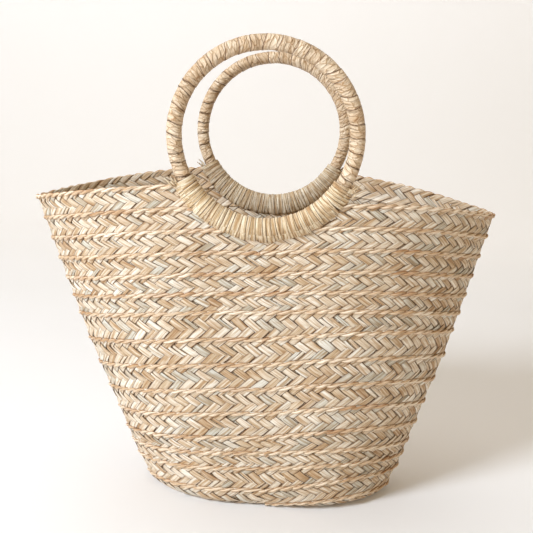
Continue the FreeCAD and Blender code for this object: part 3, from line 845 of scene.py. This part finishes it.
def leaf_material(
        name, stops, grain=1.0, edge_shade_from=0.72, blotch=0.35, roughness=0.6, bump=0.5,
        edge_shade_colour=(0.20, 0.11, 0.055), crumple=0.0, streaky=1.0):
    """Dry leaf: a colour per strip, grain and streaks along it, and painted shade at its edges and, when
    crumpled, in its creases.
    """
    material = bpy.data.materials.new(name)
    material.use_nodes = True
    nodes, links = material.node_tree.nodes, material.node_tree.links
    shader = nodes["Principled BSDF"]
    shader.inputs["Specular IOR Level"].default_value = 0.35

    def attribute(key):
        item = nodes.new("ShaderNodeAttribute")
        item.attribute_name = key
        return item

    def mix(kind, factor, first, second):
        item = nodes.new("ShaderNodeMix")
        item.data_type = "RGBA"
        item.blend_type = kind
        links.new(factor, item.inputs["Factor"])
        links.new(first, item.inputs[FIRST_COLOUR])
        item.inputs[SECOND_COLOUR].default_value = (*second, 1)
        return item.outputs[MIXED_COLOUR]

    def noise(vector, scale, detail):
        item = nodes.new("ShaderNodeTexNoise")
        item.inputs["Scale"].default_value = scale
        item.inputs["Detail"].default_value = detail
        links.new(vector, item.inputs["Vector"])
        return item.outputs["Fac"]

    def stretched(along, across):
        item = nodes.new("ShaderNodeMapping")
        item.inputs["Scale"].default_value = (along, across, 1)
        links.new(attribute("strip").outputs["Vector"], item.inputs["Vector"])
        return item.outputs["Vector"]

    def remap(source, low, high, to_low, to_high):
        item = nodes.new("ShaderNodeMapRange")
        for key, number in zip(("From Min", "From Max", "To Min", "To Max"), (low, high, to_low, to_high)):
            item.inputs[key].default_value = number
        links.new(source, item.inputs["Value"])
        return item.outputs["Result"]

    def relief(height, strength, distance, before=None):
        item = nodes.new("ShaderNodeBump")
        item.inputs["Strength"].default_value = strength
        item.inputs["Distance"].default_value = distance
        links.new(height, item.inputs["Height"])
        if before:
            links.new(before, item.inputs["Normal"])
        return item.outputs["Normal"]

    colours = ramp(nodes, stops)
    links.new(attribute("tint").outputs["Fac"], colours.inputs["Fac"])
    place = nodes.new("ShaderNodeTexCoord").outputs["Object"]
    fibre = noise(stretched(50 * grain, 1900 * grain), 1.0, 2)
    streak = noise(stretched(26 * grain, 640 * grain), 1.0, 4)
    along = noise(stretched(130, 160), 1.0, 3)
    patch = noise(place, 60, 3)
    broad = noise(place, 9, 2)

    # How each layer is mixed in, by what, between which values of it, how strongly, and its colour.
    layers = (
        ("MULTIPLY", streak, 0.47, 0.60, 0.85 * streaky, (0.68, 0.53, 0.38)),
        ("MULTIPLY", fibre, 0.46, 0.58, 0.7 * streaky, (0.76, 0.65, 0.53)),
        ("SCREEN", streak, 0.48, 0.38, 0.8 * streaky, (0.26, 0.25, 0.23)),
        ("MULTIPLY", along, 0.45, 0.75, 0.8, (0.78, 0.66, 0.52)),
        ("MIX", patch, 0.58, 0.74, blotch * 0.6, (0.50, 0.33, 0.18)),
        ("MULTIPLY", broad, 0.45, 0.75, 0.35, (0.84, 0.78, 0.68)),
        # Darker towards the edges of each strip, ply or strand: painted shade of the gaps and grooves between
        # them.
        ("MULTIPLY", attribute("edge").outputs["Fac"], edge_shade_from, 1.0, 1.0, edge_shade_colour),
    )
    base = colours.outputs["Color"]
    for blend, source, low, high, strength, colour in layers:
        base = mix(blend, remap(source, low, high, 0.0, strength), base, colour)
    normal = relief(fibre, bump * 0.7, 0.3 * MM)
    normal = relief(streak, bump, 0.5 * MM, normal)
    if crumple:
        # Crumpled leaf: sharp creases between smooth facets, painted shade along the creases, and a glossy
        # face.
        buckle = noise(stretched(110, 260), 1.0, 3)
        normal = relief(buckle, crumple, 2.5 * MM, normal)
        cells = nodes.new("ShaderNodeTexVoronoi")
        cells.feature = "DISTANCE_TO_EDGE"
        cells.inputs["Scale"].default_value = 1.0
        links.new(stretched(95, 300), cells.inputs["Vector"])
        fold = remap(cells.outputs["Distance"], 0.0, 0.16, 1.0, 0.0)
        # Painted shade along the creases.
        base = mix("MULTIPLY", remap(fold, 0.6, 1.0, 0.0, crumple), base, (0.62, 0.48, 0.34))
        normal = relief(fold, crumple, 0.5 * MM, normal)
    links.new(base, shader.inputs["Base Color"])
    links.new(normal, shader.inputs["Normal"])
    links.new(remap(streak, 0.3, 0.7, roughness - 0.08, roughness + 0.12), shader.inputs["Roughness"])
    return material


PLAIT_COLOURS = (
    (0.0, (0.58, 0.43, 0.28)),
    (0.10, (0.69, 0.56, 0.40)),
    (0.32, (0.77, 0.67, 0.53)),
    (0.58, (0.85, 0.775, 0.66)),
    (0.80, (0.89, 0.84, 0.745)),
    (0.90, (0.73, 0.70, 0.62)),
    (1.0, (0.57, 0.56, 0.49)),
)
ROPE_COLOURS = (
    (0.0, (0.70, 0.51, 0.34)),
    (0.3, (0.86, 0.71, 0.53)),
    (1.0, (0.95, 0.85, 0.70)),
)
WRAP_COLOURS = (
    (0.0, (0.70, 0.55, 0.39)),
    (0.5, (0.79, 0.64, 0.47)),
    (1.0, (0.87, 0.73, 0.56)),
)
LASHING_COLOURS = (
    (0.0, (0.68, 0.55, 0.38)),
    (0.5, (0.82, 0.71, 0.51)),
    (1.0, (0.90, 0.81, 0.62)),
)
# The back lashing is a darker, greyer copy of the front lashing's colours: painted shade.
SHADED_BACK_LASHING_COLOURS = (
    (0.0, (0.55, 0.46, 0.34)),
    (0.5, (0.67, 0.59, 0.45)),
    (1.0, (0.75, 0.68, 0.54)),
)


# ------------------------------------------------------------------ building

NOTCH_MARGIN = 4 * MM
# The first turn's strips start this many places early, where the spiral begins.
EARLY_STRIPS = -2
FLOOR_MIDDLE = 1.0 * MM
SEWING_FACE = -2.2 * MM
SEWING_SIZE = 0.8


def finish_piece(item, material, replaced, body="basket"):
    """Give a piece its material, the CAD nodes it stands for and its body."""
    item.data.materials.append(material)
    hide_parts(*replaced)
    if body:
        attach(item, body)


def build_wall(plait, rope):
    """Every turn of the wall, each with the rope ridge on its upper seam."""
    notch_bottom = RINGS["front"]["centre"][2] - NOTCH_RADIUS
    for turn in range(1, TURNS + 1):
        tall = CROWNS[turn] - CROWNS[turn - 1]
        notched = CROWNS[turn] > notch_bottom - NOTCH_MARGIN
        sheet = turn_sheet(turn)
        count = round(path_length(sheet) / PITCH)
        first = EARLY_STRIPS if turn == 1 else 0
        item = make_plait("plait_turn_%02d" % turn, sheet, tall, count, notched, first)
        finish_piece(item, plait, turn_nodes(turn))
        item = make_rope("rope_%02d" % turn, seam_sheet(turn), turn, count, notched)
        finish_piece(item, rope, rope_nodes(turn))


def build_floor(plait, rope):
    """The floor seen from below: three coils of the same plait, face down."""
    inner, middle = STRIP_HALF_WIDTH, STRIP_HALF_WIDTH + COIL_WIDTH
    plans = (
        ("floor_strip", slot_point, FLOOR_MIDDLE, inner),
        ("floor_coil_inner", slot_point, inner, middle),
        ("floor_coil_outer", outer_floor_point, middle, middle + COIL_WIDTH),
    )
    for name, surface, low, high in plans:
        sheet = band_sheet(surface, low, high)
        count = round(path_length(sheet) / PITCH)
        item = make_plait("woven_" + name, sheet, high - low, count)
        finish_piece(item, plait, [name])
    for name, at in (("floor_sewing_inner", inner), ("floor_sewing_outer", middle)):
        sheet = band_sheet(slot_point, at, at + 10 * MM)
        count = round(path_length(sheet) / PITCH)
        item = make_rope("rope_" + name, sheet, 0, count, size=SEWING_SIZE, face=SEWING_FACE, closed=True)
        finish_piece(item, rope, [name])


def build_handles(wrap, lashing):
    """Both rings: the wound leaf rides on the ring, and the lashing runs between it and the wall."""
    for side, ring in RINGS.items():
        body = side + "_handle"
        item = make_wrap(side + "_wound_leaf", ring)
        finish_piece(item, wrap, [side + "_ring_wrap", side + "_ring_core"], body)
        for group in range(LASHING_GROUPS):
            item, wall_edge, ring_edge = make_lashing(side, group, ring)
            finish_piece(item, lashing[side], [side + "_lashing"], None)
            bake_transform(item)


# ------------------------------------------------------------------ studio

FLOOR_COLUMNS = (-60.0, -20.0, -9.0, -5.0, -3.5, -2.0, 0.0, 2.0, 3.5, 5.0, 9.0, 20.0, 60.0)
FLOOR_ROWS = (-60.0, -20.0, -9.0, -5.0, -3.5, -2.0, 0.5, 0.8, 1.1, 1.4, 1.6)
BACKDROP_START = 1.6
BACKDROP_RADIUS = 0.8
BACKDROP_TOP = 4.0
BACKDROP_STEPS = 12


def paper_glow(x, y):
    """How much the paper glows: more on the backdrop, and far out to the sides and in front."""
    aside = np.maximum(np.abs(x), -y)
    return 0.055 + 0.165 * smooth((y - 0.5) / 1.3) + 0.3 * smooth((aside - 2.0) / 5.0)


def build_floor_stage():
    """A pale floor that curves up into a backdrop."""
    profile = [(y, 0.0) for y in FLOOR_ROWS]
    for step in range(1, BACKDROP_STEPS + 1):
        angle = step / BACKDROP_STEPS * math.pi / 2
        profile.append((
            BACKDROP_START + BACKDROP_RADIUS * math.sin(angle), BACKDROP_RADIUS * (1 - math.cos(angle))))
    profile.append((BACKDROP_START + BACKDROP_RADIUS, BACKDROP_TOP))
    vertices = np.array([(x, y, z) for y, z in profile for x in FLOOR_COLUMNS])
    wide = len(FLOOR_COLUMNS)
    corners = [row * wide + k for row in range(len(profile) - 1) for k in range(wide - 1)]
    faces = np.array([(k, k + 1, k + wide + 1, k + wide) for k in corners])
    glow = paper_glow(vertices[:, 0], vertices[:, 1])
    item = add_mesh("studio_floor", vertices, faces, glow=glow)
    material = bpy.data.materials.new("studio_paper")
    material.use_nodes = True
    shader = material.node_tree.nodes["Principled BSDF"]
    shader.inputs["Base Color"].default_value = (0.83, 0.825, 0.83, 1)
    shader.inputs["Emission Color"].default_value = (1.0, 0.965, 0.935, 1)
    source = material.node_tree.nodes.new("ShaderNodeAttribute")
    source.attribute_name = "glow"
    material.node_tree.links.new(source.outputs["Fac"], shader.inputs["Emission Strength"])
    shader.inputs["Roughness"].default_value = 0.9
    shader.inputs["Specular IOR Level"].default_value = 0.1
    item.data.materials.append(material)


# Name, place, size, power and colour of each soft lamp, all aimed at the basket.
LAMPS = (
    ("key", (-1.85, -1.72, 1.72), 0.86, 87, (0.93, 1.01, 1.11)),
    ("fill", (1.4, -1.9, 0.9), 1.4, 3.0, (1.0, 0.72, 0.38)),
    ("top", (-0.3, 0.2, 2.4), 1.6, 14, (0.99, 0.99, 1.0)),
)
LAMP_TARGET = (0, 0, 0.2)
WORLD_COLOUR = (1.0, 0.765, 0.42, 1)
WORLD_STRENGTH = 0.31


def add_light(name, place, size, power, colour):
    """A round soft lamp aimed at the basket."""
    data = bpy.data.lights.new(name, "AREA")
    data.shape = "DISK"
    data.size = size
    data.energy = power
    data.color = colour
    item = bpy.data.objects.new(name, data)
    item.location = place
    item.rotation_euler = (Vector(LAMP_TARGET) - Vector(place)).to_track_quat("-Z", "Y").to_euler()
    bpy.context.scene.collection.objects.link(item)


def build_studio():
    """The pale floor, the lamps and a dim warm surround."""
    bpy.context.scene.view_settings.view_transform = "Standard"
    build_floor_stage()
    for lamp in LAMPS:
        add_light(*lamp)
    world = bpy.data.worlds.new("studio")
    bpy.context.scene.world = world
    world.use_nodes = True
    background = world.node_tree.nodes["Background"]
    background.inputs["Color"].default_value = WORLD_COLOUR
    background.inputs["Strength"].default_value = WORLD_STRENGTH


CAMERA_FOCAL = 52.0
CAMERA_DISTANCE = 0.7593
CAMERA_HEIGHT = 0.3883
CAMERA_TURN = 0.040
CAMERA_PITCH = 0.205
CAMERA_ROLL = 0.036
# What the camera turns about, and how far it stands to the side.
CAMERA_PIVOT = 0.006
CAMERA_ASIDE = -0.001


def build_camera():
    """The camera: set back, turned about the pivot, tilted down and rolled."""
    data = bpy.data.cameras.new("camera")
    data.lens = CAMERA_FOCAL
    data.sensor_width = 36
    item = bpy.data.objects.new("camera", data)
    turn = Matrix.Rotation(CAMERA_TURN, 4, "Z")
    tilt = Matrix.Rotation(math.pi / 2 - CAMERA_PITCH, 4, "X")
    roll = Matrix.Rotation(CAMERA_ROLL, 4, "Z")
    pivot = Matrix.Translation((CAMERA_PIVOT, 0, 0))
    back = Matrix.Translation((CAMERA_ASIDE, -CAMERA_DISTANCE, CAMERA_HEIGHT))
    item.matrix_world = pivot @ turn @ back @ tilt @ roll
    bpy.context.scene.collection.objects.link(item)
    bpy.context.scene.camera = item


# ------------------------------------------------------------------ run

plait_leaf = leaf_material("plait_leaf", PLAIT_COLOURS)
# The rope's edge shade starts far in on each ply: painted shade in the grooves between the plies.
rope_leaf = leaf_material(
    "rope_leaf", ROPE_COLOURS, edge_shade_from=0.3, bump=0.6, edge_shade_colour=(0.42, 0.25, 0.13))
wrap_leaf = leaf_material(
    "wrap_leaf", WRAP_COLOURS, grain=0.7, edge_shade_from=0.94, blotch=0.45, roughness=0.42,
    crumple=1.0, streaky=0.4)
lashing_leaf = {
    "front": leaf_material("lashing_leaf", LASHING_COLOURS, grain=1.2, edge_shade_from=0.7, blotch=0.1),
    # The back lashing's leaf uses the darker copy of the colours: painted shade.
    "back": leaf_material(
        "back_lashing_leaf", SHADED_BACK_LASHING_COLOURS, grain=1.2, edge_shade_from=0.7, blotch=0.1),
}
build_wall(plait_leaf, rope_leaf)
build_floor(plait_leaf, rope_leaf)
build_handles(wrap_leaf, lashing_leaf)
build_studio()
build_camera()
